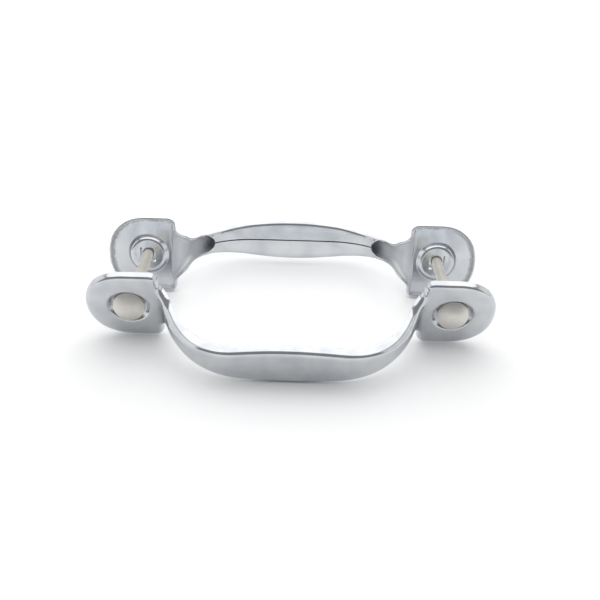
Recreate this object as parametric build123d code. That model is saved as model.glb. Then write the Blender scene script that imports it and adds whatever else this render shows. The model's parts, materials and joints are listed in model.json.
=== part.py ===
from build123d import *
from build123d.topology import SkipClean
from math import atan2, cos, pi, radians, sin, sqrt, tan
import os

# A back-to-back pair of pressed steel lift handles, held through a door by two carriage bolts.
# Millimetres. X runs along the handles, Z is up, and the front handle's grip points to -Y.
# Each handle is first made square in its own frame: Y is outward from the door, the outer face
# of its lugs is at Y 0, and the line through its two bolt holes is the X axis. Distances along
# the bow are measured on its outer face.

# --- sheet ---
SHEET = 1.2                  # thickness of the pressed steel

# --- bolts (M6), and what fits on and round them ---
BOLT_D = 5.9
BOLT_LENGTH = 75.0           # under the head
TIP_CHAMFER = 0.7
NECK_STEP = 0.25             # from the shank to the flats of the square neck
NECK_SQUARE = BOLT_D + 2 * NECK_STEP
NECK_SQUARE_LENGTH = 3.6
NECK_PLAY = 1.3              # each side of the square neck in its hole
SQUARE_HOLE = NECK_SQUARE + 2 * NECK_PLAY
HEAD_D = 16.5
HEAD_HEIGHT = 3.9
HEAD_EDGE = 0.7              # straight edge under the dome
NUT_ACROSS_FLATS = 10.0
NUT_HEIGHT = 5.0
NUT_CHAMFER = 0.45           # along the nut's axis at its corners
NUT_CHAMFER_IN = 0.8         # inward from its corners
NUT_PLAY = 0.05              # radial, for a plain bore that runs on a plain shank
WASHER_PLAY = 0.25           # radial
WASHER_MARGIN = 1.0          # washer's edge beyond the nut's flats
WASHER_D = NUT_ACROSS_FLATS + 2 * WASHER_MARGIN
WASHER_THICK = 1.6
SEAT_GAP = 0.03              # where a head, washer or nut bears

# --- lugs ---
HOLE_SPACING = 170.0         # between the two bolt holes
LUG_HEIGHT = 45.0
LUG_INNER = 16.5             # from the hole to the lug's inner edge
LUG_CORNER = 4.0             # radius of the two corners at the inner edge
RIM_DEPTH = 4.2              # outer face to the edge of the rim that meets the door
RIM_BEND = 2.3               # outer radius of the bend from the face to the rim
RECESS_DEPTH = 2.8           # pressed dish that takes the bolt head or the washer
RECESS_PLAY = 0.95           # round the bolt head, on the recess floor
RECESS_FLARE = 2.0           # how much wider the recess is at its mouth
RECESS_FLOOR_R = HEAD_D / 2 + RECESS_PLAY
RECESS_MOUTH_R = RECESS_FLOOR_R + RECESS_FLARE

# --- bow and grip ---
GRIP_REACH = 37.7            # outer face of the lug to the outer face of the grip
SHOULDER_R = 40.0            # radius of the outer face from the crown to the leg
LEG_ANGLE = 68.0             # slope of the leg from the lug's plane
ROOT_BEND_R = 4.0            # radius between the lug's outer face and the leg
ROOT_LAP = 2.4               # how far that bend starts in from the lug's inner edge
GRIP_HEIGHT = 24.6           # overall height at the middle of the grip
NECK_HEIGHT = 13.4           # overall height where the bow is narrowest
ROOT_HEIGHT = 32.0           # overall height where the bow joins the lug
GRIP_DEPTH = 6.3             # outer face to inner face at the middle
SHOULDER_DEPTH = 7.2         # the same at the shoulder
NECK_DEPTH = 5.2             # outer face to the edges of the open neck
GRIP_CORNER = 3.0            # outer radius of the grip's four corners
NECK_CORNER = 4.9            # outer radius of the neck's trough
ROOT_CORNER = 1.6
LIP_CORNER = 2.4
FLAT_SHARE = 0.2             # share of the closed grip that keeps its depth
SHOULDER_SHARE = 0.9         # share of the closed grip at which it is deepest

# --- mouth and neck, as distances along the bow from the lug ---
MOUTH_BACK = 34.5            # where the lips of the grip part
NECK_BACK = 21.0             # where the bow is narrowest
FLARE_BACK = 18.5            # where it starts to widen to the lug
MOUTH_LENGTH = 7.5           # over which the lips run out to the corners
LIP_HOLD = 2.0               # past the parting, before the lips start to unfold
NECK_FOLD = 4.0              # degrees of the lips' fold that are left at the neck
LIP_STUB = 0.25              # lip that is left along the open neck
LIP_STEP = 0.2               # least straight wall between a corner and a lip
SEAM_GAP = 0.5               # between the two lips on the grip's inner face
CLOSED_STATIONS = 6          # sections along the closed grip
OPEN_STATIONS = 12           # sections from the mouth to the lug

# --- how the pair stands ---
FACE_TO_FACE = 62.0          # between the outer faces of the lugs, at the bolts
FRONT_LEAN = 17.0            # the front handle leans out on its bolts
REAR_LEAN = 8.8
FRONT_DROP = 0.5             # each handle's holes hang this far below the bolts
REAR_DROP = 0.7
BARE_FROM = RECESS_DEPTH + SHEET + 2.0           # from the head to where the shank is clear
BARE_TO = FACE_TO_FACE - RIM_DEPTH - SHEET       # from the head to where the rear handle starts
TOLERANCE = 0.1              # for finding corners


def leg_length():
    """Length of the straight leg between the shoulder and the bend at its root."""
    leg = radians(LEG_ANGLE)
    fall = SHOULDER_R * (1 - cos(leg))
    return (GRIP_REACH - fall) / sin(leg) - ROOT_BEND_R * tan(leg / 2)


def crown_half():
    """Half of the grip's straight middle, which is what the curved parts leave of the length."""
    leg = radians(LEG_ANGLE)
    curved = (SHOULDER_R + ROOT_BEND_R) * sin(leg) + leg_length() * cos(leg)
    return HOLE_SPACING / 2 - LUG_INNER + ROOT_LAP - curved


def path_length():
    """Length of the outer face from the middle of the grip to the lug."""
    return crown_half() + (SHOULDER_R + ROOT_BEND_R) * radians(LEG_ANGLE) + leg_length()


def path_point(along):
    """Outer face of the bow: point and slope angle at a distance along it from the middle."""
    leg = radians(LEG_ANGLE)
    arc = SHOULDER_R * leg
    x, y, slope = min(along, crown_half()), GRIP_REACH, 0.0
    rest = along - crown_half()
    if rest > 0:
        slope = min(rest, arc) / SHOULDER_R
        x += SHOULDER_R * sin(slope)
        y -= SHOULDER_R * (1 - cos(slope))
    rest -= arc
    if rest > 0:
        run = min(rest, leg_length())
        x += run * cos(leg)
        y -= run * sin(leg)
    rest -= leg_length()
    if rest > 0:
        turned = min(rest / ROOT_BEND_R, leg)
        x += ROOT_BEND_R * (sin(leg) - sin(leg - turned))
        y -= ROOT_BEND_R * (cos(leg - turned) - cos(leg))
        slope = leg - turned
    return x, y, slope


def ease(value, start, end):
    """0 before start, 1 after end, smooth between."""
    share = min(max((value - start) / (end - start), 0.0), 1.0)
    return share * share * (3 - 2 * share)


def section(along):
    """Sizes of the folded section: height, depth, corner radius, lip fold angle and lip length."""
    end = path_length()
    mouth, neck, flare = end - MOUTH_BACK, end - NECK_BACK, end - FLARE_BACK
    narrow = cos(min(along / neck, 1.0) * pi / 2) ** 2
    height = NECK_HEIGHT + (GRIP_HEIGHT - NECK_HEIGHT) * narrow
    height += (ROOT_HEIGHT - NECK_HEIGHT) * ease(along, flare, end - ROOT_BEND_R)
    shoulder = SHOULDER_SHARE * mouth
    depth = GRIP_DEPTH + (SHOULDER_DEPTH - GRIP_DEPTH) * ease(along, FLAT_SHARE * mouth, shoulder)
    depth += (NECK_DEPTH - SHOULDER_DEPTH) * ease(along, mouth, neck)
    depth += (RIM_DEPTH - NECK_DEPTH) * ease(along, flare, end)
    corner = GRIP_CORNER + (NECK_CORNER - GRIP_CORNER) * ease(along, shoulder, neck)
    corner += (ROOT_CORNER - NECK_CORNER) * ease(along, flare, end)
    fold = 90 - (90 - NECK_FOLD) * ease(along, mouth + LIP_HOLD, neck)
    full_lip = height / 2 - LIP_CORNER - SEAM_GAP / 2
    run_out = min(max((along - mouth) / MOUTH_LENGTH, 0.0), 1.0)
    return height, depth, corner, fold, max(full_lip * (1 - run_out), LIP_STUB)


def half_profile(along):
    """Corner points and arc middles of the upper half of the section, outside then inside."""
    height, depth, corner, fold, lip = section(along)
    top = height / 2
    turn = radians(fold)
    lip_depth = depth - LIP_CORNER * sin(turn)
    web_centre = (-corner, top - corner)
    lip_centre = (-max(lip_depth - lip * cos(turn), corner + LIP_STEP), top - LIP_CORNER)
    lines = []
    for wall in (0.0, SHEET):
        big, small = corner - wall, LIP_CORNER - wall
        on_web = (-wall, top - corner)
        on_top = (-corner, top - wall)
        mid_web = (web_centre[0] + big * sqrt(0.5), web_centre[1] + big * sqrt(0.5))
        lip_top = (lip_centre[0], top - wall)
        half_turn = pi / 2 + turn / 2
        full_turn = pi / 2 + turn
        mid_lip = (lip_centre[0] + small * cos(half_turn), lip_centre[1] + small * sin(half_turn))
        end_lip = (lip_centre[0] + small * cos(full_turn), lip_centre[1] + small * sin(full_turn))
        tip = (end_lip[0] - lip * cos(turn), end_lip[1] - lip * sin(turn))
        lines.append((on_web, mid_web, on_top, lip_top, mid_lip, end_lip, tip))
    return lines


def section_face(along):
    """The folded section as a face across the bow."""
    outer, inner = half_profile(along)
    x, y, slope = path_point(along)

    def place(point, sign):
        return Vector(x + point[0] * sin(slope), y + point[0] * cos(slope), sign * point[1])

    def run(points, sign):
        web, mid_web, top, lip_top, mid_lip, end_lip, tip = [place(p, sign) for p in points]
        return [
            Edge.make_three_point_arc(web, mid_web, top),
            Edge.make_line(top, lip_top),
            Edge.make_three_point_arc(lip_top, mid_lip, end_lip),
            Edge.make_line(end_lip, tip),
        ]

    edges = [Edge.make_line(place(outer[0], -1), place(outer[0], 1))]
    edges += run(outer, 1)
    edges.append(Edge.make_line(place(outer[6], 1), place(inner[6], 1)))
    edges += run(inner, 1)
    edges.append(Edge.make_line(place(inner[0], 1), place(inner[0], -1)))
    edges += run(inner, -1)
    edges.append(Edge.make_line(place(inner[6], -1), place(outer[6], -1)))
    edges += run(outer, -1)
    return Wire(edges)


def half_bow():
    """Right half of the bow, from the middle of the grip to the lug."""
    mouth = path_length() - MOUTH_BACK
    closed = [mouth * n / CLOSED_STATIONS for n in range(CLOSED_STATIONS + 1)]
    opened = [mouth + MOUTH_BACK * n / OPEN_STATIONS for n in range(1, OPEN_STATIONS + 1)]
    return Solid.make_loft([section_face(s) for s in closed + opened], False)


def across(profile, start, end):
    """Extrude a profile drawn in X and Z between two distances outward from the lug's face."""
    plane = Plane(origin=(0, start, 0), x_dir=(1, 0, 0), z_dir=(0, 1, 0))
    return extrude(plane * profile, end - start)


def lug_outline(inset):
    """Round outer end, straight top and bottom, and two small corners at the inner edge."""
    hole = HOLE_SPACING / 2
    half = LUG_HEIGHT / 2 - inset
    inner = hole - LUG_INNER + inset
    body = Pos((hole + inner) / 2, 0) * Rectangle(hole - inner, 2 * half)
    corners = body.vertices().filter_by_position(Axis.X, inner - TOLERANCE, inner + TOLERANCE)
    round_end = Pos(hole, 0) * Circle(half) & Pos(hole + half, 0) * Rectangle(2 * half, 2 * half)
    return fillet(corners, LUG_CORNER - inset) + round_end


def cone(bottom_r, top_r, bottom_y, top_y):
    """A cone on the bolt's axis between two distances outward from the lug's face."""
    height = top_y - bottom_y
    return Pos(HOLE_SPACING / 2, (bottom_y + top_y) / 2, 0) * Rot(X=-90) * Cone(bottom_r, top_r, height)


def lug():
    """Right lug: a plate with its edge turned towards the door, a dished recess and a square hole."""
    face_edge = across(lug_outline(0), -RIM_DEPTH, 0)
    face_edge = fillet(face_edge.faces().sort_by(Axis.Y)[-1].edges(), RIM_BEND)
    hollow = across(lug_outline(SHEET), -2 * RIM_DEPTH, -SHEET)
    hollow = fillet(hollow.faces().sort_by(Axis.Y)[-1].edges(), RIM_BEND - SHEET)
    inner_edge = HOLE_SPACING / 2 - LUG_INNER
    root = Pos(inner_edge, -RIM_DEPTH, 0) * Box(2 * ROOT_LAP, 4 * RIM_DEPTH, ROOT_HEIGHT - SHEET)
    floor_under = RECESS_DEPTH + SHEET
    wall = SHEET / 2
    boss = cone(RECESS_FLOOR_R + wall, RECESS_MOUTH_R + wall, -floor_under, 0)
    dish = cone(RECESS_FLOOR_R, RECESS_MOUTH_R, -RECESS_DEPTH, 0)
    above = across(Pos(HOLE_SPACING / 2, 0) * Circle(RECESS_MOUTH_R), 0, RIM_DEPTH)
    hole = across(Pos(HOLE_SPACING / 2, 0) * Rectangle(SQUARE_HOLE, SQUARE_HOLE), -2 * floor_under, RIM_DEPTH)
    return face_edge - hollow - root + boss - dish - above - hole


def handle():
    """One handle, square in its own frame."""
    half = lug() + half_bow()
    return half + Rot(Y=180) * half


def bolt():
    """Carriage bolt along Y, with the underside of its head at Y 0 and its shank towards +Y."""
    dome_height = HEAD_HEIGHT - HEAD_EDGE
    dome_r = (HEAD_D**2 / 4 + dome_height**2) / (2 * dome_height)
    dome_angle = atan2(HEAD_D / 2, dome_r - dome_height) / 2
    crown = dome_r - HEAD_HEIGHT
    outline = Face(Wire([
        Edge.make_line((0, 0), (HEAD_D / 2, 0)),
        Edge.make_line((HEAD_D / 2, 0), (HEAD_D / 2, -HEAD_EDGE)),
        Edge.make_three_point_arc(
            (HEAD_D / 2, -HEAD_EDGE),
            (dome_r * sin(dome_angle), crown - dome_r * cos(dome_angle)),
            (0, -HEAD_HEIGHT),
        ),
        Edge.make_line((0, -HEAD_HEIGHT), (0, 0)),
    ]))
    head = revolve(outline, Axis.Y)
    neck = Pos(0, NECK_SQUARE_LENGTH / 2, 0) * Box(NECK_SQUARE, NECK_SQUARE_LENGTH, NECK_SQUARE)
    tip = chamfer(shank(BARE_TO, BOLT_LENGTH).edges().sort_by(Axis.Y)[-1], TIP_CHAMFER)
    top = head + neck + shank(0, BARE_FROM)
    with SkipClean():
        return shank(BARE_FROM, BARE_TO) + top + tip


def shank(start, end):
    """The bolt's shank between two distances from the underside of its head."""
    plane = Plane(origin=(0, start, 0), x_dir=(1, 0, 0), z_dir=(0, 1, 0))
    return extrude(plane * Circle(BOLT_D / 2), end - start)


def washer():
    """Flat washer along Y, with its bearing face at Y 0."""
    plane = Plane(origin=(0, 0, 0), x_dir=(1, 0, 0), z_dir=(0, 1, 0))
    return extrude(plane * (Circle(WASHER_D / 2) - Circle(BOLT_D / 2 + WASHER_PLAY)), WASHER_THICK)


def nut():
    """Hexagon nut along Y, with its bearing face at Y 0 and its corners rounded off at both ends."""
    plane = Plane(origin=(0, 0, 0), x_dir=(1, 0, 0), z_dir=(0, 1, 0))
    corner_r = NUT_ACROSS_FLATS / sqrt(3)
    prism = extrude(plane * RegularPolygon(corner_r, 6), NUT_HEIGHT)
    round_blank = extrude(plane * Circle(corner_r), NUT_HEIGHT)
    round_blank = chamfer(round_blank.edges().filter_by(GeomType.CIRCLE), NUT_CHAMFER, NUT_CHAMFER_IN)
    bore = extrude(plane * Circle(BOLT_D / 2 + NUT_PLAY), NUT_HEIGHT)
    return (prism & round_blank) - bore


def lean_point(lean, drop, radius):
    """Y of a recess floor, from the lug's outer face, at the height where a flat ring leans on it."""
    tilt = radians(lean)
    up = (radius + drop - RECESS_DEPTH * sin(tilt)) / cos(tilt)
    return up * sin(tilt) - RECESS_DEPTH * cos(tilt)


def assembly():
    """Every piece in its place, with the bolts on Z 0 and the pair centred on Y 0."""
    half = FACE_TO_FACE / 2
    shape = handle()
    head_y = -half - lean_point(FRONT_LEAN, FRONT_DROP, HEAD_D / 2) - SEAT_GAP
    washer_y = half + lean_point(REAR_LEAN, REAR_DROP, WASHER_D / 2) + SEAT_GAP
    nut_y = washer_y + WASHER_THICK + SEAT_GAP
    pieces = {
        "front_handle": Pos(0, -half, -FRONT_DROP) * Rot(X=FRONT_LEAN) * Rot(Z=180) * shape,
        "rear_handle": Pos(0, half, -REAR_DROP) * Rot(X=-REAR_LEAN) * shape,
    }
    for side, x in (("left", -HOLE_SPACING / 2), ("right", HOLE_SPACING / 2)):
        pieces[side + "_bolt"] = Pos(x, head_y, 0) * bolt()
        pieces[side + "_washer"] = Pos(x, washer_y, 0) * washer()
        pieces[side + "_nut"] = Pos(x, nut_y, 0) * nut()
    return pieces, head_y, washer_y


def main():
    os.makedirs("parts", exist_ok=True)
    pieces, head_y, washer_y = assembly()
    box = Compound(list(pieces.values())).bounding_box(optimal=True)
    stand = Pos(-(box.min.X + box.max.X) / 2, -(box.min.Y + box.max.Y) / 2, -box.min.Z)
    for name, piece in pieces.items():
        export_step(stand * piece, f"parts/{name}.step")
    shift = stand.position
    print("size", box.size)
    print("middle_y", shift.Y)
    print("bolt_z", shift.Z)
    print("head_y", head_y + shift.Y)
    print("washer_y", washer_y + shift.Y)


if __name__ == "__main__":
    main()
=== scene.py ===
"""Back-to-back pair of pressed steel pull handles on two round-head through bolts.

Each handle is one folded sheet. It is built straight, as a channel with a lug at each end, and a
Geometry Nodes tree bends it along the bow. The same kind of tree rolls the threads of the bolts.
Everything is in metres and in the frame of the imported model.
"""

from __future__ import annotations

import json
import logging
import math
from dataclasses import dataclass, field
from enum import Enum
from typing import Any, Callable, Iterable, Sequence

import bmesh
import bpy
from mathutils import Matrix, Vector


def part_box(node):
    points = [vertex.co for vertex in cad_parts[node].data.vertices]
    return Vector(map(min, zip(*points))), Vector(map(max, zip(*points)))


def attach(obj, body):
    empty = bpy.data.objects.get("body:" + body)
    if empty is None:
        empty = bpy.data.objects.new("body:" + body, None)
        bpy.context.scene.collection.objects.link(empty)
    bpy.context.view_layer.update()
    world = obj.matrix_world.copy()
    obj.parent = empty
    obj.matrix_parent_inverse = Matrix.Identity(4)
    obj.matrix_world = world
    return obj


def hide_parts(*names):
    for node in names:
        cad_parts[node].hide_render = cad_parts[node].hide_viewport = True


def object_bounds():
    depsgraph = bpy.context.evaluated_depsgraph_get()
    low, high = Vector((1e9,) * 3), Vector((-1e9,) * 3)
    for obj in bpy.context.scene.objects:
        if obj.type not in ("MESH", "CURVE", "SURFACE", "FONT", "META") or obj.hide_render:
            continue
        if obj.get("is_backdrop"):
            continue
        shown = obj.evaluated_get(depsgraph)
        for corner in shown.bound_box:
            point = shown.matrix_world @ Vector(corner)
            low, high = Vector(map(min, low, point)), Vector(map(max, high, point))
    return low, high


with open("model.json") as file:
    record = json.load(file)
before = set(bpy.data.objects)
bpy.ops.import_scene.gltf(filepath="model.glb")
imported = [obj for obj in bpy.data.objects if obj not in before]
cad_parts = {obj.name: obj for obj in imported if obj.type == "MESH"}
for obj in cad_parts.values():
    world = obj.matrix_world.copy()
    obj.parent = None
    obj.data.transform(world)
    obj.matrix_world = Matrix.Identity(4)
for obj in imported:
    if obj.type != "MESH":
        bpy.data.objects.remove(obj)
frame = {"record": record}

LOG = logging.getLogger("pull_handles")
MM = 0.001
INSIDE = "inside"  # 1 on the walls that are folded in, 0 on the open ones
SHARP_ANGLE = 38.0
WELD_GAP = 2e-6
Flat = tuple[float, float]
Flat3 = tuple[float, float, float]


# ---- node graphs


class Graph:
    """A node tree that is written with one method for nodes and with Python arithmetic on sockets."""

    def __init__(self, tree: bpy.types.NodeTree) -> None:
        """Start from an existing shader or geometry tree."""
        self.tree = tree

    def add(self, kind: str, values: dict[Any, Any] | None = None, **settings: Any) -> bpy.types.Node:
        """Add one node, set what it is, then set or link its sockets.

        Args:
            kind: The node's type name.
            values: Socket name or number to a value, a Wire or a socket.
            **settings: Properties of the node, such as an operation.

        Returns:
            The new node.
        """
        node = self.tree.nodes.new(kind)
        for name, value in settings.items():
            setattr(node, name, value)
        for key, value in (values or {}).items():
            socket = node.inputs[key]
            if isinstance(value, Wire):
                self.tree.links.new(value.socket, socket)
            elif isinstance(value, bpy.types.NodeSocket):
                self.tree.links.new(value, socket)
            else:
                socket.default_value = value
        return node

    def out(self, kind: str, values: dict[Any, Any] | None = None, output: Any = 0, **settings: Any) -> Wire:
        """Add a node and wrap one of its outputs, chosen by name or number."""
        return Wire(self, self.add(kind, values, **settings).outputs[output])

    def math(self, operation: str, *operands: Any) -> Wire:
        """Add a Math node on wires or numbers."""
        return self.out("ShaderNodeMath", dict(enumerate(operands)), operation=operation)

    def smooth(self, value: Wire, low: Any, high: Any) -> Wire:
        """Rise smoothly from 0 where the value is low to 1 where it is high."""
        ends = {"Value": value, "From Min": low, "From Max": high}
        return self.out("ShaderNodeMapRange", ends, interpolation_type="SMOOTHSTEP")


@dataclass(frozen=True)
class Wire:
    """One output socket, with arithmetic that adds Math nodes."""

    graph: Graph
    socket: bpy.types.NodeSocket

    def __add__(self, other: Any) -> Wire:
        """Sum."""
        return self.graph.math("ADD", self, other)

    __radd__ = __add__

    def __sub__(self, other: Any) -> Wire:
        """Difference."""
        return self.graph.math("SUBTRACT", self, other)

    def __rsub__(self, other: Any) -> Wire:
        """Difference from a number."""
        return self.graph.math("SUBTRACT", other, self)

    def __mul__(self, other: Any) -> Wire:
        """Product."""
        return self.graph.math("MULTIPLY", self, other)

    __rmul__ = __mul__

    def __truediv__(self, other: Any) -> Wire:
        """Quotient."""
        return self.graph.math("DIVIDE", self, other)

    def __rtruediv__(self, other: Any) -> Wire:
        """Quotient of a number."""
        return self.graph.math("DIVIDE", other, self)

    def sin(self) -> Wire:
        """Sine of an angle in radians."""
        return self.graph.math("SINE", self)

    def cos(self) -> Wire:
        """Cosine of an angle in radians."""
        return self.graph.math("COSINE", self)

    def size(self) -> Wire:
        """Absolute value."""
        return self.graph.math("ABSOLUTE", self)

    def between(self, low: Any, high: Any) -> Wire:
        """Held between two limits."""
        return self.graph.math("MINIMUM", self.graph.math("MAXIMUM", self, low), high)


class FormTree:
    """A Geometry Nodes tree with named inputs that ends in Realize Instances and Set Material."""

    def __init__(self, name: str, sizes: Iterable[str], counts: Iterable[str] = ()) -> None:
        """Make the tree and its inputs.

        Args:
            name: Name of the tree.
            sizes: Names of its decimal inputs.
            counts: Names of its whole-number inputs.
        """
        self.tree = bpy.data.node_groups.new(name, "GeometryNodeTree")
        face = self.tree.interface
        face.new_socket("Geometry", in_out="INPUT", socket_type="NodeSocketGeometry")
        for size in sizes:
            face.new_socket(size, in_out="INPUT", socket_type="NodeSocketFloat")
        for count in counts:
            face.new_socket(count, in_out="INPUT", socket_type="NodeSocketInt")
        face.new_socket("Material", in_out="INPUT", socket_type="NodeSocketMaterial")
        face.new_socket("Geometry", in_out="OUTPUT", socket_type="NodeSocketGeometry")
        self.graph = Graph(self.tree)
        self.entry = self.graph.add("NodeGroupInput")

    def given(self, name: str) -> Wire:
        """One named input as a Wire."""
        return Wire(self.graph, self.entry.outputs[name])

    def close(self, geometry: Wire) -> None:
        """Finish the tree.

        Args:
            geometry: The finished shape.
        """
        real = self.graph.out("GeometryNodeRealizeInstances", {"Geometry": geometry})
        dressing = {"Geometry": real, "Material": self.given("Material")}
        dressed = self.graph.out("GeometryNodeSetMaterial", dressing)
        self.graph.add("NodeGroupOutput", {"Geometry": dressed})

    def apply(self, obj: bpy.types.Object, values: dict[str, Any]) -> bpy.types.Mesh:
        """Run the tree on an object and give the result as a plain mesh.

        Args:
            obj: The object that carries the starting mesh.
            values: Input name to value.

        Returns:
            A new mesh that no longer depends on the tree.
        """
        modifier = obj.modifiers.new("form", "NODES")
        modifier.node_group = self.tree
        for item in self.tree.interface.items_tree:
            if item.item_type == "SOCKET" and item.in_out == "INPUT" and item.name in values:
                modifier[item.identifier] = values[item.name]
        graph = bpy.context.evaluated_depsgraph_get()
        mesh = bpy.data.meshes.new_from_object(obj.evaluated_get(graph))
        obj.modifiers.remove(modifier)
        return mesh


# ---- finishes


@dataclass(frozen=True)
class ZincPlate:
    """Bright zinc plate on steel: two close tints, uneven gloss and fine surface relief."""

    slot: str
    tint: tuple[float, float, float]
    shade: tuple[float, float, float]
    gloss: float
    gloss_spread: float
    relief: float
    relief_size: float
    grain: float
    grain_stretch: tuple[float, float, float]
    dullness: float = 0.0
    metal: float = 1.0
    cloud_size: float = 90.0
    cloud_share: Flat = (0.35, 0.68)
    grain_height: float = 0.35

    def make(self) -> bpy.types.Material:
        """Build the material.

        Returns:
            A metal whose colour, roughness and relief vary over the surface.
        """
        material = bpy.data.materials.new(self.slot)
        material.use_nodes = True
        material.node_tree.nodes.clear()
        graph = Graph(material.node_tree)
        place = graph.out("ShaderNodeTexCoord", output="Object")
        cloud = self._noise(graph, place, self.cloud_size, 3.0)
        fine = self._noise(graph, place, self.relief_size, 4.0)
        stretched = graph.out("ShaderNodeMapping", {"Vector": place, "Scale": self.grain_stretch})
        grain = self._noise(graph, stretched, 1.0, 3.0)
        share = graph.smooth(cloud, *self.cloud_share)
        colour = graph.out(
            "ShaderNodeMix",
            {"Factor": share, 6: (*self.tint, 1.0), 7: (*self.shade, 1.0)},
            output=2,
            data_type="RGBA",
        )
        roughness = self.gloss + self.gloss_spread * (cloud - 0.5) + self.grain * (grain - 0.5)
        height = fine * self.relief + grain * (self.relief * self.grain_height)
        bump = graph.out("ShaderNodeBump", {"Height": height, "Strength": 0.6, "Distance": 1.0})
        inside = graph.out("ShaderNodeAttribute", attribute_name=INSIDE, output="Fac")
        surface = graph.out(
            "ShaderNodeBsdfPrincipled",
            {
                "Base Color": colour,
                "Metallic": self.metal - inside * self.dullness,
                "Roughness": (roughness + inside * self.dullness * 0.5).between(0.04, 0.9),
                "Normal": bump,
            },
        )
        graph.add("ShaderNodeOutputMaterial", {"Surface": surface})
        return material

    @staticmethod
    def _noise(graph: Graph, place: Wire, scale: float, detail: float) -> Wire:
        """A noise of about 0 to 1, with so many cells to a metre and so many finer octaves."""
        values = {"Vector": place, "Scale": scale, "Detail": detail, "Roughness": 0.5}
        return graph.out("ShaderNodeTexNoise", values, output=0)


class Finish(Enum):
    """The finishes of the object's pieces."""

    HANDLE = ZincPlate(
        "handle_zinc", (0.63, 0.645, 0.66), (0.55, 0.57, 0.60),
        0.17, 0.10, 0.000012, 420.0, 0.05, (60.0, 900.0, 900.0), 0.55,
    )
    BOLT = ZincPlate(
        "bolt_zinc", (0.74, 0.72, 0.675), (0.66, 0.64, 0.60),
        0.46, 0.12, 0.00004, 900.0, 0.08, (700.0, 700.0, 700.0), 0.0, 0.72,
    )
    WASHER = ZincPlate(
        "washer_zinc", (0.76, 0.765, 0.77), (0.70, 0.705, 0.71),
        0.28, 0.10, 0.00002, 700.0, 0.06, (500.0, 500.0, 500.0),
    )
    NUT = ZincPlate(
        "nut_zinc", (0.77, 0.77, 0.765), (0.70, 0.70, 0.69),
        0.30, 0.10, 0.00002, 700.0, 0.06, (500.0, 900.0, 500.0),
    )


class Wardrobe:
    """Makes each finish once and hands it out."""

    def __init__(self) -> None:
        """Make every material."""
        self._made = {finish: finish.value.make() for finish in Finish}

    def of(self, finish: Finish) -> bpy.types.Material:
        """The material of a finish."""
        return self._made[finish]


# ---- outlines and shells


def ease(value: float, start: float, end: float) -> float:
    """Rise smoothly from 0 at start to 1 at end.

    Args:
        value: Where the curve is read.
        start: Where it leaves 0.
        end: Where it reaches 1.

    Returns:
        The eased share.
    """
    share = min(max((value - start) / (end - start), 0.0), 1.0)
    return share * share * (3 - 2 * share)


def spread(start: float, end: float, count: int) -> list[float]:
    """Evenly spaced numbers, both ends included.

    Args:
        start: The first number.
        end: The last number.
        count: How many steps lie between them.

    Returns:
        The numbers.
    """
    return [start + (end - start) * n / count for n in range(count + 1)]


def arc(centre: Flat, radius: float, start: float, end: float, steps: int) -> list[Flat]:
    """Points on a circular arc.

    Args:
        centre: The arc's centre.
        radius: Its radius.
        start: Its first angle in degrees.
        end: Its last angle in degrees.
        steps: Number of chords.

    Returns:
        The points, both ends included.
    """
    angles = [math.radians(a) for a in spread(start, end, steps)]
    return [(centre[0] + radius * math.cos(a), centre[1] + radius * math.sin(a)) for a in angles]


def rounded(corners: Sequence[Flat], radius: float, steps: int) -> list[Flat]:
    """A polyline whose inner corners are rounded.

    Args:
        corners: The polyline.
        radius: Radius of each inner corner.
        steps: Number of chords in each corner.

    Returns:
        The rounded polyline.
    """
    points = [corners[0]]
    for before, corner, after in zip(corners, corners[1:], corners[2:]):
        here = Vector(corner)
        back = (Vector(before) - here).normalized()
        ahead = (Vector(after) - here).normalized()
        half = back.angle(ahead) / 2
        centre = here + (back + ahead).normalized() * (radius / math.sin(half))
        start = here + back * (radius / math.tan(half)) - centre
        end = here + ahead * (radius / math.tan(half)) - centre
        for share in spread(0, 1, steps):
            points.append(tuple(centre + start.lerp(end, share).normalized() * radius))
    points.append(corners[-1])
    return points


def offset(points: Sequence[Flat], distance: float) -> list[Flat]:
    """Shift a polyline to its left.

    Args:
        points: The polyline.
        distance: How far it is shifted.

    Returns:
        The shifted polyline, with as many points.
    """
    shifted = []
    for n, point in enumerate(points):
        ways = []
        for a, b in ((n - 1, n), (n, n + 1)):
            if a >= 0 and b < len(points):
                way = Vector(points[b]) - Vector(points[a])
                if way.length > 1e-6:
                    ways.append(way.normalized())
        mean = sum(ways, Vector((0.0, 0.0))).normalized()
        stretch = 1 / max(mean.dot(ways[0]), 0.5)
        shifted.append((point[0] - mean.y * distance * stretch, point[1] + mean.x * distance * stretch))
    return shifted


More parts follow.
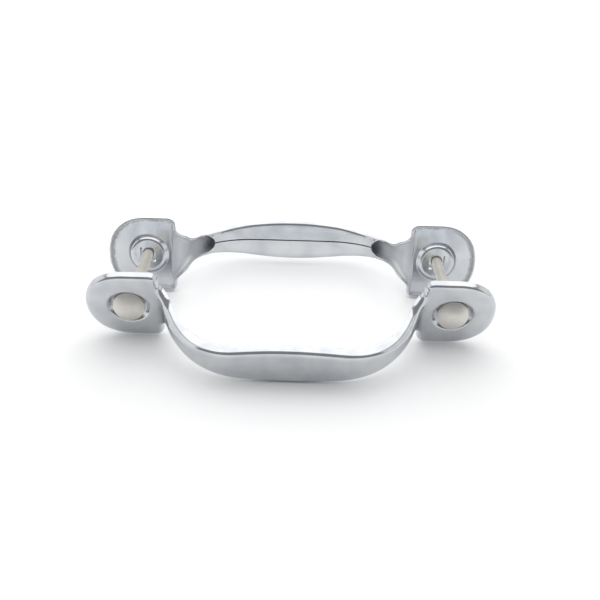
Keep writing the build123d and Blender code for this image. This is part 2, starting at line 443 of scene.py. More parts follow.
class Shell:
    """A mesh that is put together from grids of points and then welded."""

    def __init__(self) -> None:
        """Start with nothing."""
        self.points: list[Vector] = []
        self.inside: list[float] = []
        self.faces: list[tuple[int, ...]] = []

    def grid(
        self, rows: Sequence[Sequence[Sequence[float]]], closed: bool = False, inside: float = 0.0
    ) -> None:
        """Add a grid of quads.

        Args:
            rows: Rows of points, all equally long.
            closed: Whether each row's last point joins its first.
            inside: 1 on a wall that is folded in, 0 on an open one.
        """
        start, width = len(self.points), len(rows[0])
        for row in rows:
            self.points.extend(Vector(point) for point in row)
            self.inside.extend([inside] * len(row))
        last = width if closed else width - 1
        for r in range(len(rows) - 1):
            for c in range(last):
                d = (c + 1) % width
                low, high = start + r * width, start + (r + 1) * width
                self.faces.append((low + c, low + d, high + d, high + c))

    def fan(self, row: Sequence[Sequence[float]], tip: Sequence[float]) -> None:
        """Close a ring of points with triangles to one point.

        Args:
            row: The ring.
            tip: The point in its middle.
        """
        start = len(self.points)
        self.points.extend(Vector(point) for point in row)
        self.points.append(Vector(tip))
        self.inside.extend([0.0] * (len(row) + 1))
        for c in range(len(row)):
            self.faces.append((start + c, start + (c + 1) % len(row), start + len(row)))

    def mesh(self, name: str, mirrored: bool = False) -> bpy.types.Mesh:
        """Weld the grids into one closed mesh whose faces point outward.

        Args:
            name: Name of the mesh.
            mirrored: Whether a copy mirrored in X is welded on.

        Returns:
            The mesh, in metres.
        """
        points, faces = list(self.points), list(self.faces)
        if mirrored:
            count = len(points)
            points += [Vector((-p.x, p.y, p.z)) for p in self.points]
            faces += [tuple(count + n for n in reversed(face)) for face in self.faces]
        mesh = bpy.data.meshes.new(name)
        mesh.from_pydata([p * MM for p in points], [], faces)
        layer = mesh.attributes.new(INSIDE, "FLOAT", "POINT")
        layer.data.foreach_set("value", self.inside * (2 if mirrored else 1))
        weld(mesh)
        return mesh


def shade(mesh: bpy.types.Mesh) -> None:
    """Shade a mesh smooth and keep its sharp edges.

    Args:
        mesh: The mesh.
    """
    mesh.shade_smooth()
    mesh.set_sharp_from_angle(angle=math.radians(SHARP_ANGLE))


def weld(mesh: bpy.types.Mesh) -> None:
    """Weld a mesh, turn its faces outward and shade it smooth.

    Args:
        mesh: The mesh.
    """
    work = bmesh.new()
    work.from_mesh(mesh)
    bmesh.ops.remove_doubles(work, verts=work.verts, dist=WELD_GAP)
    bmesh.ops.dissolve_degenerate(work, dist=1e-7, edges=work.edges)
    bmesh.ops.recalc_face_normals(work, faces=work.faces)
    work.to_mesh(mesh)
    work.free()
    shade(mesh)


def put(name: str, mesh: bpy.types.Mesh, material: bpy.types.Material) -> bpy.types.Object:
    """Show a mesh as an object at the origin.

    Args:
        name: Name of the piece.
        mesh: Its mesh, already in place.
        material: Its finish.

    Returns:
        The new object.
    """
    mesh.name = name
    mesh.materials.clear()
    mesh.materials.append(material)
    obj = bpy.data.objects.new(name, mesh)
    bpy.context.scene.collection.objects.link(obj)
    return obj


def settle(
    name: str, mesh: bpy.types.Mesh, finish: Finish, wardrobe: Wardrobe, body: str, node: str
) -> bpy.types.Object:
    """Show a finished piece on its body, in place of its node.

    Args:
        name: Name of the piece.
        mesh: Its mesh, already in place.
        finish: Its finish.
        wardrobe: The finishes that are made.
        body: The body that carries it.
        node: The node that it replaces.

    Returns:
        The finished piece.
    """
    piece = put(name, mesh, wardrobe.of(finish))
    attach(piece, body)
    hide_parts(node)
    return piece


# ---- where things are


@dataclass
class Places:
    """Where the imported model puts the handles, bolts, washers and nuts."""

    mounts: dict[str, dict[str, Any]] = field(
        default_factory=lambda: {m["name"]: m for m in frame["record"]["mounts"]}
    )

    def handle(self, front: bool, rim_depth: float) -> Matrix:
        """Placement of a handle that is built square, with its lugs' outer faces at Y 0.

        Args:
            front: Whether it is the front handle.
            rim_depth: From the lugs' outer faces to the rims that meet the door, in metres.

        Returns:
            The matrix from the handle's own frame to the model's.
        """
        mount = self.mounts["front_door_face" if front else "rear_door_face"]
        axis = Vector(mount["axis"])
        origin = Vector(mount["pos_m"]) - axis * rim_depth
        origin.x = 0.0
        lean = math.atan2(axis.z, abs(axis.y))
        turn = Matrix.Rotation(math.pi, 4, "Z") if front else Matrix.Identity(4)
        tilt = Matrix.Rotation(lean if front else -lean, 4, "X")
        return Matrix.Translation(origin) @ tilt @ turn

    def bolt_row(self) -> list[tuple[str, float]]:
        """Side name and X of each bolt."""
        half = self.mounts["through_bolts"]["dims"]["spacing_x_mm"] * MM / 2
        return [("left", -half), ("right", half)]

    def bolt_height(self) -> float:
        """Z of the bolts' axes."""
        return self.mounts["through_bolts"]["pos_m"][2]


# ---- the handles


@dataclass(frozen=True)
class EdgePoint:
    """One place on the straightened handle's outline, with the sizes of the fold there."""

    along: float
    up: float
    inward: Flat
    depth: float
    corner: float
    fold: float = 0.0
    lip: float = 0.0

    def place(self, point: Flat, side: int) -> Flat3:
        """Where a point of the fold lies, on the upper (1) or the lower (-1) edge."""
        along = self.along + self.inward[0] * point[0]
        return (along, point[1], side * (self.up + self.inward[1] * point[0]))


@dataclass
class Handle:
    """One pressed handle. Sizes are in millimetres."""

    name: str
    node: str
    front: bool
    seed: float
    sheet: float = 1.2
    hole_spacing: float = 170.0
    lug_height: float = 45.0
    lug_end: float = 68.6
    end_fullness: float = 2.2
    lug_corner: float = 4.5
    rim_depth: float = 4.2
    rim_bend: float = 2.3
    recess_depth: float = 2.8
    recess_mouth: float = 11.2
    recess_floor: float = 9.2
    square_hole: float = 9.0
    reach: float = 37.6
    crown_half: float = 26.0
    shoulder: float = 40.0
    leg_angle: float = 68.0
    root_bend: float = 6.0
    grip_height: float = 24.5
    neck_height: float = 13.4
    root_height: float = 34.0
    grip_depth: float = 6.3
    shoulder_depth: float = 7.2
    neck_depth: float = 5.2
    grip_corner: float = 2.8
    neck_corner: float = 4.9
    lip_corner: float = 2.4
    seam_gap: float = 0.35
    mouth_back: float = 34.0
    mouth_length: float = 7.0
    neck_back: float = 21.0
    flare_back: float = 18.0
    edge_round: float = 0.22
    flat_from: float = 9.0
    flat_to: float = 15.0
    root_from: float = 10.0
    root_to: float = 2.0
    calm_length: float = 30.0
    ripple: float = 0.5
    ripple_scale: float = 55.0
    lip_stub: float = 0.3
    lip_opening: float = 84.0
    swell: Flat = (10.0, 45.0)
    recess_margin: float = 1.6
    recess_bend: float = 1.5
    hole_margin: float = 0.76
    columns: int = 18
    grip_stations: int = 44
    mouth_stations: int = 16
    neck_stations: int = 20
    flare_stations: int = 22
    end_stations: int = 40

    def __post_init__(self) -> None:
        """Work out the lengths along the straightened bow."""
        self.leg = math.radians(self.leg_angle)
        fall = self.shoulder * (1 - math.cos(self.leg))
        tangent = self.root_bend * math.tan(self.leg / 2)
        self.leg_length = (self.reach - fall) / math.sin(self.leg) - tangent
        self.length = self.crown_half + (self.shoulder + self.root_bend) * self.leg + self.leg_length
        self.root_x = (
            self.crown_half
            + (self.shoulder + self.root_bend) * math.sin(self.leg)
            + self.leg_length * math.cos(self.leg)
        )
        self.hole_along = self.length + self.hole_spacing / 2 - self.root_x
        self.edge_along = self.length + self.lug_end - self.root_x
        self.neck_along = self.length - self.neck_back
        self.flare_along = self.length - self.flare_back
        self.mouth_start = self.length - self.mouth_back

    def build(self, places: Places, wardrobe: Wardrobe) -> bpy.types.Object:
        """Fold the sheet, bend it along the bow and put it on its body.

        Args:
            places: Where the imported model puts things.
            wardrobe: The finishes.

        Returns:
            The finished piece.
        """
        material = wardrobe.of(Finish.HANDLE)
        straight = put(self.name + "_straight", self._folded().mesh(self.name, True), material)
        mesh = BOW_TREE.bend(straight, self, material)
        bpy.data.objects.remove(straight)
        mesh.transform(places.handle(self.front, self.rim_depth * MM))
        weld(mesh)
        return settle(self.name, mesh, Finish.HANDLE, wardrobe, self.node, self.node)

    def _fold_sizes(self, along: float) -> tuple[float, float, float, float]:
        """Depth, corner radius, lip fold in degrees and lip length on the bow.

        Args:
            along: Distance from the middle of the grip.

        Returns:
            The four sizes.
        """
        depth = self.grip_depth
        depth += (self.shoulder_depth - self.grip_depth) * ease(along, *self.swell)
        depth += (self.neck_depth - self.shoulder_depth) * ease(along, self.mouth_start, self.neck_along)
        corner = self.grip_corner
        corner += (self.neck_corner - self.grip_corner) * ease(along, self.swell[1], self.neck_along)
        opened = self.mouth_start + self.mouth_length
        fold = 90 - self.lip_opening * ease(along, self.mouth_start + 1, opened + 2)
        full = self._half_height(along) - self.lip_corner - self.seam_gap / 2
        share = min(max((along - self.mouth_start) / (opened - self.mouth_start), 0.0), 1.0)
        lip = full * (1 - math.sqrt(share * (2 - share))) + self.lip_stub * share
        return depth, corner, fold, lip

    def _half_height(self, along: float) -> float:
        """Half of the bow's height at a distance from the middle of the grip."""
        narrow = math.cos(min(along / self.neck_along, 1.0) * math.pi / 2) ** 2
        return (self.neck_height + (self.grip_height - self.neck_height) * narrow) / 2

    def _bow_edge(self) -> list[EdgePoint]:
        """The upper edge of the bow.

        Returns:
            Its points, from the middle of the grip to the start of the flare.
        """
        grip = spread(0, self.mouth_start, self.grip_stations)
        shares = spread(0, 1, self.mouth_stations)[1:]
        mouth = [self.mouth_start + self.mouth_length * share**2 for share in shares]
        after = spread(self.mouth_start + self.mouth_length, self.flare_along, self.neck_stations)[1:]
        reach = 0.1
        points = []
        for along in grip + mouth + after:
            rise = self._half_height(along + reach) - self._half_height(along - reach)
            slope = rise / (2 * reach) if along > 2 * reach else 0.0
            stretch = math.hypot(1, slope)
            depth, corner, fold, lip = self._fold_sizes(along)
            inward = (slope / stretch, -1 / stretch)
            points.append(EdgePoint(along, self._half_height(along), inward, depth, corner, fold, lip))
        return points

    def _flare_edge(self) -> list[EdgePoint]:
        """The concave edge from the neck to the lug's inner edge.

        Returns:
            Its points.
        """
        wide = self.edge_along - self.flare_along
        start = self._half_height(self.flare_along)
        tall = self.root_height / 2 - start
        depth, corner, fold, lip = self._fold_sizes(self.flare_along)
        points = []
        for angle in spread(0, 90, self.flare_stations)[1:]:
            turn = math.radians(angle)
            run, rise = wide * math.cos(turn), tall * math.sin(turn)
            length = math.hypot(run, rise)
            share = ease(angle, 0, 80)
            points.append(
                EdgePoint(
                    self.flare_along + wide * math.sin(turn),
                    start + tall * (1 - math.cos(turn)),
                    (rise / length, -run / length),
                    depth + (self.rim_depth - depth) * share,
                    corner + (self.rim_bend - corner) * share,
                    fold * (1 - share),
                    lip,
                )
            )
        return points

    def _lug_edge(self) -> list[EdgePoint]:
        """The lug's edge from its inner corner to the middle of its round end.

        Returns:
            Its points.
        """
        half = self.lug_height / 2
        corner_at = (self.edge_along + self.lug_corner, half - self.lug_corner)
        sides: list[tuple[Flat, Flat]] = []
        for up in spread(self.root_height / 2, corner_at[1], 6)[1:]:
            sides.append(((self.edge_along, up), (1.0, 0.0)))
        for x, y in arc((0, 0), 1.0, 180, 90, 8)[1:]:
            sides.append(((corner_at[0] + self.lug_corner * x, corner_at[1] + self.lug_corner * y), (-x, -y)))
        for along in spread(corner_at[0], self.hole_along, 8)[1:]:
            sides.append(((along, half), (0.0, -1.0)))
        power = 2 / self.end_fullness
        for x, y in arc((0, 0), 1.0, 90, 0, self.end_stations)[1:]:
            x, y = max(x, 0.0), max(y, 0.0)
            bulge, steep = (x**power, y**power), (x ** (2 - power), y ** (2 - power))
            reach = math.hypot(*steep)
            at = (self.hole_along + half * bulge[0], half * bulge[1])
            sides.append((at, (-steep[0] / reach, -steep[1] / reach)))
        fold = (self.rim_depth, self.rim_bend, 0.0, self.lip_stub)
        return [EdgePoint(*at, inward, *fold) for at, inward in sides]

    def _fold_profile(self, edge: EdgePoint) -> list[list[Flat]]:
        """The fold across the edge: distance in from the outline and height over the face.

        Args:
            edge: The place on the outline.

        Returns:
            The outer wall, the rounded edge of the sheet, and the inner wall.
        """
        turn = math.radians(edge.fold)
        web = arc((edge.corner, -edge.corner), edge.corner, 90, 180, 8)
        hang = self.lip_corner * math.sin(turn) + edge.lip * math.cos(turn)
        lip_down = max(edge.depth - hang, edge.corner)
        lip = arc((self.lip_corner, -lip_down), self.lip_corner, 180, 180 + max(edge.fold, 0.5), 7)
        way = (math.sin(turn), -math.cos(turn))
        reach = edge.lip / max(abs(edge.inward[1]), 0.5) if edge.fold > 60 else edge.lip
        tip = (lip[-1][0] + way[0] * reach, lip[-1][1] + way[1] * reach)
        back = min(self.edge_round, reach * 0.6)
        near = (tip[0] - way[0] * back, tip[1] - way[1] * back)
        outer = web + lip
        for share in (0.25, 0.5, 0.75):
            outer.append(tuple(Vector(lip[-1]).lerp(Vector(near), share)))
        outer.append(near)
        side = (-way[1], way[0])
        rim = [outer[-1]]
        for share in (0.22, 0.5, 0.78):
            bulge = back * (1 - (2 * share - 1) ** 2 * 0.5)
            rim.append(tuple(near[i] + way[i] * bulge + side[i] * self.sheet * share for i in (0, 1)))
        inner = offset(outer, self.sheet)
        rim.append(inner[-1])
        return [outer, rim, inner]

    def _folded(self) -> Shell:
        """The right half of the straightened handle.

        Returns:
            A shell whose open side is the middle of the grip.
        """
        shell = Shell()
        bow = self._bow_edge() + self._flare_edge()
        upper = bow + self._lug_edge()
        profiles = [self._fold_profile(edge) for edge in upper]
        for side in (1, -1):
            for part in range(3):
                rows = [[e.place(p, side) for p in f[part]] for e, f in zip(upper, profiles)]
                shell.grid(rows if side > 0 else [row[::-1] for row in rows], inside=float(part == 2))
        for wall in (0, 2):
            top = [e.place(f[wall][0], 1) for e, f in zip(bow, profiles)]
            self._add_web(shell, top, float(wall == 2))
        self._add_lug(shell, [self._lug_loop(upper, profiles, len(bow), wall) for wall in (0, 2)])
        return shell

    def _add_web(self, shell: Shell, top: Sequence[Flat3], inside: float) -> None:
        """Fill the bow's web between its upper boundary and the lower one."""
        rows = [[(x, y, z * u) for u in spread(1, -1, self.columns)] for x, y, z in top]
        shell.grid(rows, inside=inside)

    def _lug_loop(
        self,
        upper: Sequence[EdgePoint],
        profiles: Sequence[Sequence[Sequence[Flat]]],
        root: int,
        wall: int,
    ) -> list[Flat3]:
        """The closed boundary of one of the lug's flat faces.

        Args:
            upper: The upper outline.
            profiles: Its folds.
            root: Number of outline points that belong to the bow.
            wall: 0 for the outer face, 2 for the inner one.

        Returns:
            The boundary, down the root and round the lug.
        """
        top = [e.place(f[wall][0], 1) for e, f in zip(upper[root - 1:], profiles[root - 1:])]
        x, y, z = top[0]
        line = [(x, y, z * u) for u in spread(1, -1, self.columns)]
        bottom = [(x, y, -z) for x, y, z in top[1:]]
        return line + bottom + top[-2:0:-1]

    def _add_lug(self, shell: Shell, loops: Sequence[Sequence[Flat3]]) -> None:
        """Fill the lug inside its fold: flat face, pressed recess and square hole.

        Args:
            shell: The shell to add to.
            loops: The closed boundaries of the outer and the inner flat face.
        """
        centre = Vector((self.hole_along, 0.0, 0.0))
        dish = rounded(
            [
                (self.recess_mouth + self.recess_margin, 0.0),
                (self.recess_mouth, 0.0),
                (self.recess_floor, -self.recess_depth),
                (self.square_hole * self.hole_margin, -self.recess_depth),
            ],
            self.recess_bend,
            6,
        )
        rims = []
        for loop, profile in zip(loops, (dish, offset(dish, self.sheet))):
            ways = [(Vector((p[0], 0.0, p[2])) - centre).normalized() for p in loop]
            mouth, level = profile[0]
            rows = []
            for share in spread(0, 1, 9):
                rows.append(
                    [
                        Vector(p).lerp(centre + way * mouth + Vector((0, level, 0)), share)
                        for p, way in zip(loop, ways)
                    ]
                )
            for radius, height in profile[1:]:
                rows.append([centre + way * radius + Vector((0, height, 0)) for way in ways])
            floor, level = profile[-1]
            for share in (0.5, 1.0):
                reaches = [floor + (self._square_reach(way) - floor) * share for way in ways]
                rows.append([centre + way * r + Vector((0, level, 0)) for way, r in zip(ways, reaches)])
            rims.append(rows[-1])
            shell.grid(rows, closed=True)
        shell.grid(rims, closed=True)

    def _square_reach(self, way: Vector) -> float:
        """From the middle of the square hole to its edge, with slightly rounded corners."""
        power = 14.0
        total = abs(way.x) ** power + abs(way.z) ** power
        return self.square_hole / 2 * total ** (-1 / power)


class BowTree:
    """Geometry Nodes that bend a straightened handle along its bow.

    Both tables give, for an input of the tree, the value of a Handle that it takes.
    """

    lengths = {
        "Crown Half": "crown_half", "Shoulder Radius": "shoulder", "Root Radius": "root_bend",
        "Leg Length": "leg_length", "Reach": "reach", "Bow Length": "length", "Root X": "root_x",
        "Flat From": "flat_from", "Flat To": "flat_to", "Root From": "root_from",
        "Root To": "root_to", "Calm Length": "calm_length", "Ripple": "ripple",
    }
    others = {"Leg Angle": "leg", "Ripple Scale": "ripple_scale", "Seed": "seed"}

    def __init__(self) -> None:
        """Build the tree."""
        self.form = FormTree("bend_along_the_bow", (*self.lengths, *self.others))
        self._fill()

    def _fill(self) -> None:
        """Write the rule of the bow as nodes."""
        graph, given = self.form.graph, self.form.given
        at = graph.add("ShaderNodeSeparateXYZ", {0: graph.out("GeometryNodeInputPosition")})
        x, out, up = (Wire(graph, at.outputs[n]) for n in range(3))
        along = x.size()
        side = graph.math("SIGN", x)
        leg, big, small = given("Leg Angle"), given("Shoulder Radius"), given("Root Radius")
        past_crown = along - given("Crown Half")
        first = (past_crown / big).between(0.0, leg)
        past_arc = past_crown - big * leg
        run = past_arc.between(0.0, given("Leg Length"))
        second = ((past_arc - given("Leg Length")) / small).between(0.0, leg)
        past_root = (along - given("Bow Length")).between(0.0, 1.0)
        left = leg - second
        reach_x = (
            graph.math("MINIMUM", along, given("Crown Half"))
            + big * first.sin() + run * leg.cos() + small * (leg.sin() - left.sin()) + past_root
        )
        reach_y = (
            given("Reach") - big * (1 - first.cos()) - run * leg.sin() - small * (left.cos() - leg.cos())
        )
        slope = first - second
        bent_x = reach_x + out * slope.sin()
        bent_y = reach_y + out * slope.cos()
        flat_x = given("Root X") - (given("Bow Length") - along)
        end = given("Bow Length")
        near = graph.smooth(along, end - given("Root From"), end - given("Root To"))
        flat = graph.smooth(up.size(), given("Flat From"), given("Flat To")) * near
        calm = graph.smooth(along, end - given("Calm Length"), end)
        ripple = self._ripple(x, up) * (1 - calm)
        final_x = bent_x + (flat_x - bent_x) * flat
        final_y = bent_y + (out - bent_y) * flat - ripple
        spot = graph.out("ShaderNodeCombineXYZ", {0: final_x * side, 1: final_y, 2: up})
        moved = graph.out("GeometryNodeSetPosition", {"Geometry": given("Geometry"), "Position": spot})
        self.form.close(moved)

    def _ripple(self, x: Wire, up: Wire) -> Wire:
        """The slight unevenness that the press leaves in the grip.

        Args:
            x: Distance along the handle.
            up: Height.

        Returns:
            How far the sheet lies inside its rule, never less than nothing.
        """
        graph, given = self.form.graph, self.form.given
        spot = graph.out("ShaderNodeCombineXYZ", {0: x, 1: given("Seed"), 2: up * 0.5})
        noise = graph.out(
            "ShaderNodeTexNoise", {"Vector": spot, "Scale": given("Ripple Scale"), "Detail": 1.0}, output=0
        )
        return given("Ripple") * noise

    def bend(
        self, straight: bpy.types.Object, handle: Handle, material: bpy.types.Material
    ) -> bpy.types.Mesh:
        """Bend one straightened handle.

        Args:
            straight: The object to bend.
            handle: Its sizes.
            material: Its finish.

        Returns:
            The bent mesh.
        """
        values: dict[str, Any] = {name: getattr(handle, key) * MM for name, key in self.lengths.items()}
        values |= {name: getattr(handle, key) for name, key in self.others.items()}
        return self.form.apply(straight, values | {"Material": material})


BOW_TREE = BowTree()


# ---- bolts, washers and nuts


class ThreadTree:
    """Geometry Nodes that roll a right-hand thread along +Y from Y 0."""

    def __init__(self) -> None:
        """Build the tree."""
        sizes = ("Length", "Root Radius", "Crest Radius", "Pitch", "Point")
        self.form = FormTree("rolled_thread", sizes, ("Around", "Along"))
        graph, given = self.form.graph, self.form.given
        sheet = graph.out(
            "GeometryNodeMeshGrid",
            {"Size X": 1.0, "Size Y": 1.0, "Vertices X": given("Around"), "Vertices Y": given("Along")},
        )
        at = graph.add("ShaderNodeSeparateXYZ", {0: graph.out("GeometryNodeInputPosition")})
        angle = (Wire(graph, at.outputs[0]) + 0.5) * math.tau
        along = (Wire(graph, at.outputs[1]) + 0.5) * given("Length")
        turns = along / given("Pitch") + angle / math.tau
        wave = (graph.math("FRACT", turns) * 2 - 1).size()
        ridge = graph.smooth(wave, 0.1, 0.9)
        body = given("Root Radius") + (given("Crest Radius") - given("Root Radius")) * ridge
        pointed = given("Crest Radius") - given("Point") + (given("Length") - along)
        radius = graph.math("MINIMUM", body, pointed)
        spot = graph.out("ShaderNodeCombineXYZ", {0: radius * angle.cos(), 1: along, 2: radius * angle.sin()})
        moved = graph.out("GeometryNodeSetPosition", {"Geometry": sheet, "Position": spot})
        self.form.close(graph.out("GeometryNodeMergeByDistance", {"Geometry": moved, "Distance": 1e-6}))

    def roll(self, sizes: dict[str, Any], material: bpy.types.Material) -> bpy.types.Mesh:
        """Roll one thread.

        Args:
            sizes: Length, radii, pitch, point and counts.
            material: Its finish.

        Returns:
            The thread's surface, open at both ends.
        """
        blank = put("thread_blank", bpy.data.meshes.new("thread_blank"), material)
        mesh = self.form.apply(blank, {**sizes, "Material": material})
        bpy.data.objects.remove(blank)
        return mesh


THREAD_TREE = ThreadTree()


def lathe(shell: Shell, profile: Sequence[Flat], steps: int = 64, closed: bool = False) -> None:
    """Turn a profile about the Y axis.

    Args:
        shell: The shell to add to.
        profile: Radius and Y of each point. Points on the axis close the shape.
        steps: Number of faces round it.
        closed: Whether the profile's last point joins its first.
    """
    ways = [(math.cos(math.tau * n / steps), math.sin(math.tau * n / steps)) for n in range(steps)]
    body = [[(r * c, y, r * s) for c, s in ways] for r, y in profile if r > 1e-6]
    if closed:
        body.append(body[0])
    shell.grid(body, closed=True)
    for n, last in ((0, 0), (-1, -1)):
        if profile[n][0] <= 1e-6:
            shell.fan(body[last], (0.0, profile[n][1], 0.0))


@dataclass
class Fastener:
    """A piece on a bolt's axis. Sizes are in millimetres; Y 0 is its bearing face."""

    side: str
    x: float

    def build(self, places: Places, wardrobe: Wardrobe) -> bpy.types.Object:
        """Make the piece and put it on its body.

        Args:
            places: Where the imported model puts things.
            wardrobe: The finishes.

        Returns:
            The finished piece.
        """
        name, node, body, finish = self.labels()
        mesh = self.form(wardrobe.of(finish))
        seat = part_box(node)[0][1] + self.before_seat() * MM
        mesh.transform(Matrix.Translation((self.x, seat, places.bolt_height())))
        return settle(name, mesh, finish, wardrobe, body, node)

    def labels(self) -> tuple[str, str, str, Finish]:
        """Name of the piece, its node and its body, and its finish."""
        raise NotImplementedError

    def form(self, material: bpy.types.Material) -> bpy.types.Mesh:
        """The piece's mesh about the Y axis."""
        raise NotImplementedError

    def before_seat(self) -> float:
        """How far the piece stands out before its bearing face."""
        return 0.0


@dataclass
class Bolt(Fastener):
    """A round-head, square-neck bolt, whose bearing face is under its head."""

    head_diameter: float = 16.5
    head_height: float = 3.9
    head_edge: float = 0.7
    square: float = 6.4
    square_length: float = 3.6
    length: float = 75.0
    crest: float = 2.95
    thread_root: float = 2.45
    pitch: float = 1.0
    point: float = 0.7
    pit_depth: float = 0.28
    pit_radius: float = 1.1
    neck_start: float = -0.3
    thread_around: int = 41
    thread_along: int = 715

    def labels(self) -> tuple[str, str, str, Finish]:
        """Name of the piece, its node and its body, and its finish."""
        return self.side + "_through_bolt", self.side + "_bolt", "bolts", Finish.BOLT

    def before_seat(self) -> float:
        """The height of the head."""
        return self.head_height

    def form(self, material: bpy.types.Material) -> bpy.types.Mesh:
        """The head and neck, joined with the rolled shank.

        Args:
            material: The bolt's finish.

        Returns:
            The mesh.
        """
        shell = Shell()
        self._add_head(shell)
        self._add_neck(shell)
        mesh = shell.mesh(self.side + "_bolt_head")
        thread = THREAD_TREE.roll(
            {
                "Length": (self.length - self.square_length) * MM,
                "Root Radius": self.thread_root * MM,
                "Crest Radius": self.crest * MM,
                "Pitch": self.pitch * MM,
                "Point": self.point * MM,
                "Around": self.thread_around,
                "Along": self.thread_along,
            },
            material,
        )
        thread.transform(Matrix.Translation((0.0, self.square_length * MM, 0.0)))
        return join(mesh, thread)

    def _add_head(self, shell: Shell) -> None:
        """The domed head, with the small pit that heading leaves in its middle.

        Args:
            shell: The shell to add to.
        """
        rise = self.head_height - self.head_edge
        edge = self.head_diameter / 2
        radius = (edge**2 + rise**2) / (2 * rise)
        profile: list[Flat] = [(0.0, 0.0), (self.square * 0.4, 0.0)]
        profile += [(edge - 0.3, 0.0), (edge - 0.08, -0.08), (edge, -0.3), (edge, -self.head_edge + 0.1)]
        for share in spread(1, 0.03, 24):
            angle = math.asin(edge / radius) * share
            out = radius * math.sin(angle)
            dip = self.pit_depth * math.exp(-((out / self.pit_radius) ** 2))
            profile.append((out, radius - radius * math.cos(angle) - self.head_height + dip))
        profile.append((0.0, -self.head_height + self.pit_depth))
        lathe(shell, profile, 72)

    def _add_neck(self, shell: Shell) -> None:
        """The square neck, with rounded corners and a tapered end.

        Args:
            shell: The shell to add to.
        """
        steps = 64
        rows = []
        for y, scale in ((self.neck_start, 1.0), (self.square_length - 0.5, 1.0), (self.square_length, 0.86)):
            ring = []
            for n in range(steps):
                angle = math.tau * n / steps
                c, s = math.cos(angle), math.sin(angle)
                reach = self.square / 2 * (abs(c) ** 12 + abs(s) ** 12) ** (-1 / 12) * scale
                ring.append((reach * c, y, reach * s))
            rows.append(ring)
        shell.grid(rows, closed=True)
        shell.fan(rows[0], (0.0, self.neck_start, 0.0))
        shell.fan(rows[-1], (0.0, self.square_length, 0.0))


def join(*meshes: bpy.types.Mesh) -> bpy.types.Mesh:
    """Join meshes into the first one, and close each one's open rings.

    Args:
        *meshes: The meshes.

    Returns:
        The joined mesh.
    """
    work = bmesh.new()
    for mesh in meshes:
        work.from_mesh(mesh)
    rings = [edge for edge in work.edges if edge.is_boundary]
    bmesh.ops.holes_fill(work, edges=rings, sides=0)
    bmesh.ops.recalc_face_normals(work, faces=work.faces)
    work.to_mesh(meshes[0])
    work.free()
    shade(meshes[0])
    return meshes[0]


@dataclass
class Washer(Fastener):
    """A flat washer."""

    diameter: float = 12.0
    bore: float = 6.4
    thick: float = 1.6
    edge: float = 0.18

    def labels(self) -> tuple[str, str, str, Finish]:
        """Name of the piece, its node and its body, and its finish."""
        return self.side + "_flat_washer", self.side + "_washer", "washers", Finish.WASHER

    def form(self, material: bpy.types.Material) -> bpy.types.Mesh:
        """The ring, with slightly rounded edges.

        Args:
            material: The washer's finish, which its making doesn't need.

        Returns:
            The mesh.
        """
        shell = Shell()
        outer, inner, e, t = self.diameter / 2, self.bore / 2, self.edge, self.thick
        profile = [
            (inner + e, 0.0), (outer - 2 * e, 0.0), (outer - 0.5 * e, 0.4 * e), (outer, 2 * e),
            (outer, t - e), (outer - e, t), (inner + e, t), (inner, t - e), (inner, e),
        ]
        lathe(shell, profile, 64, closed=True)
        return shell.mesh(self.side + "_washer")


@dataclass
class Nut(Fastener):
    """A hexagon nut."""

    across_flats: float = 10.0
    height: float = 5.0
    crown: float = 9.4
    bore: float = 6.1
    bore_edge: float = 0.25
    chamfer_angle: float = 28.0
    steps: int = 96

    def labels(self) -> tuple[str, str, str, Finish]:
        """Name of the piece, its node and its body, and its finish."""
        return self.side + "_hexagon_nut", self.side + "_nut", self.side + "_nut", Finish.NUT

    def form(self, material: bpy.types.Material) -> bpy.types.Mesh:
        """The hexagon, from the bore over one face, down the flats and back over the other.

        Args:
            material: The nut's finish, which its making doesn't need.

        Returns:
            The mesh.
        """
        slope = math.tan(math.radians(self.chamfer_angle))
        crown, bore, e = self.crown / 2, self.bore / 2, self.bore_edge

        def ring(radius: Callable[[float], float], y: Callable[[float], float]) -> list[Flat3]:
            """One ring.

            Args:
                radius: Its radius where the hexagon reaches so far.
                y: Its Y where its radius is so large.

            Returns:
                Its points.
            """
            points = []
            for n in range(self.steps):
                angle = math.tau * n / self.steps
                sector = (angle + math.pi / 6) % (math.pi / 3) - math.pi / 6
                hexagon = self.across_flats / 2 / math.cos(sector)
                r = radius(hexagon)
                points.append((r * math.cos(angle), y(r), r * math.sin(angle)))
            return points

        rows = [
            ring(lambda h: bore, lambda r: e),
            ring(lambda h: bore + e, lambda r: 0.0),
            ring(lambda h: crown, lambda r: 0.0),
            ring(lambda h: h - 0.06, lambda r: (r - crown) * slope),
            ring(lambda h: h, lambda r: (r - crown) * slope + 0.1),
            ring(lambda h: h, lambda r: self.height - (r - crown) * slope - 0.1),
            ring(lambda h: h - 0.06, lambda r: self.height - (r - crown) * slope),
            ring(lambda h: crown, lambda r: self.height),
            ring(lambda h: bore + e, lambda r: self.height),
            ring(lambda h: bore, lambda r: self.height - e),
        ]
        shell = Shell()
        shell.grid(rows + [rows[0]], closed=True)
        return shell.mesh(self.side + "_nut")


# ---- studio


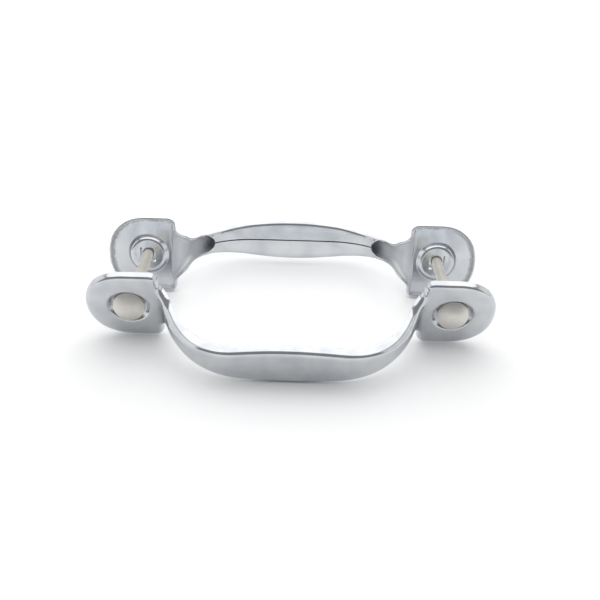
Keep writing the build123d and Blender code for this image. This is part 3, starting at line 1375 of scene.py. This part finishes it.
@dataclass
class Studio:
    """Pale floor, soft light and the camera. Distances are in metres."""

    lens: float = 46.8
    camera_at: Flat3 = (0.0010, -0.3781, 0.2390)
    heading: float = 0.58
    dip: float = 31.1
    roll: float = 1.9

    def build(self) -> None:
        """Make the floor, the lights and the camera."""
        self._floor()
        self._sky()
        self._lamp("overhead_sheet", (0.0, 0.20, 1.50), (0.0, 0.0, 0.0), (3.0, 2.6), 1.30)
        self._lamp("back_sheet", (0.0, 1.70, 0.78), (0.0, 0.0, 0.78), (3.4, 1.5), 1.50)
        self._lamp("left_sheet", (-1.70, 0.30, 0.70), (0.0, 0.3, 0.70), (2.4, 1.3), 0.80)
        self._lamp("right_sheet", (1.70, 0.30, 0.70), (0.0, 0.3, 0.70), (2.4, 1.3), 0.65)
        self._camera()

    def _floor(self) -> None:
        """A wide pale floor."""
        material = bpy.data.materials.new("pale_floor")
        material.use_nodes = True
        surface = material.node_tree.nodes["Principled BSDF"]
        surface.inputs["Base Color"].default_value = (0.93, 0.93, 0.93, 1.0)
        surface.inputs["Roughness"].default_value = 0.85
        mesh = bpy.data.meshes.new("floor")
        reach = 4.0
        square = [(-reach, -reach, 0), (reach, -reach, 0), (reach, reach, 0), (-reach, reach, 0)]
        mesh.from_pydata(square, [], [(0, 1, 2, 3)])
        floor = put("floor", mesh, material)
        floor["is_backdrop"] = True

    def _sky(self) -> None:
        """Even pale light from all round."""
        world = bpy.data.worlds.new("studio")
        world.use_nodes = True
        sky = world.node_tree.nodes["Background"]
        sky.inputs["Color"].default_value = (0.97, 0.98, 1.0, 1.0)
        sky.inputs["Strength"].default_value = 0.30
        bpy.context.scene.world = world
        bpy.context.scene.view_settings.view_transform = "Standard"

    def _lamp(self, name: str, at: Flat3, target: Flat3, size: Flat, glow: float) -> None:
        """One rectangular area lamp.

        Args:
            name: Its name.
            at: Where it stands.
            target: What it points at.
            size: Its width and height.
            glow: How bright its face looks.
        """
        data = bpy.data.lights.new(name, "AREA")
        data.shape = "RECTANGLE"
        data.size, data.size_y = size
        data.energy = glow * math.pi * size[0] * size[1]
        lamp = bpy.data.objects.new(name, data)
        lamp.location = at
        lamp.rotation_euler = (Vector(target) - Vector(at)).to_track_quat("-Z", "Y").to_euler()
        bpy.context.scene.collection.objects.link(lamp)

    def _camera(self) -> None:
        """The camera, looking down at the front handle."""
        data = bpy.data.cameras.new("camera")
        data.lens = self.lens
        data.sensor_width = 36.0
        data.clip_start = 0.01
        camera = bpy.data.objects.new("camera", data)
        turn = Matrix.Rotation(-math.radians(self.heading), 4, "Z")
        pitch = Matrix.Rotation(math.radians(90 - self.dip), 4, "X")
        roll = Matrix.Rotation(math.radians(self.roll), 4, "Z")
        camera.matrix_world = Matrix.Translation(self.camera_at) @ turn @ pitch @ roll
        bpy.context.scene.collection.objects.link(camera)
        bpy.context.scene.camera = camera


def corners() -> list[list[float]]:
    """Lowest and highest corner of what is shown, as plain lists."""
    low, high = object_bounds()
    return [list(low), list(high)]


def main() -> None:
    """Build the studio and the pieces in order."""
    logging.basicConfig(level=logging.INFO, format="%(name)s: %(message)s")
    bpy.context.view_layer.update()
    places, wardrobe = Places(), Wardrobe()
    Studio().build()
    makers: list[Any] = [
        Handle("front_pull_handle", "front_handle", True, 0.31),
        Handle("rear_pull_handle", "rear_handle", False, 0.77),
    ]
    for side, x in places.bolt_row():
        makers += [Bolt(side, x), Washer(side, x), Nut(side, x)]
    for maker in makers:
        piece = maker.build(places, wardrobe)
        LOG.info("%s: %d faces", piece.name, len(piece.data.polygons))


if __name__ == "__main__":
    main()
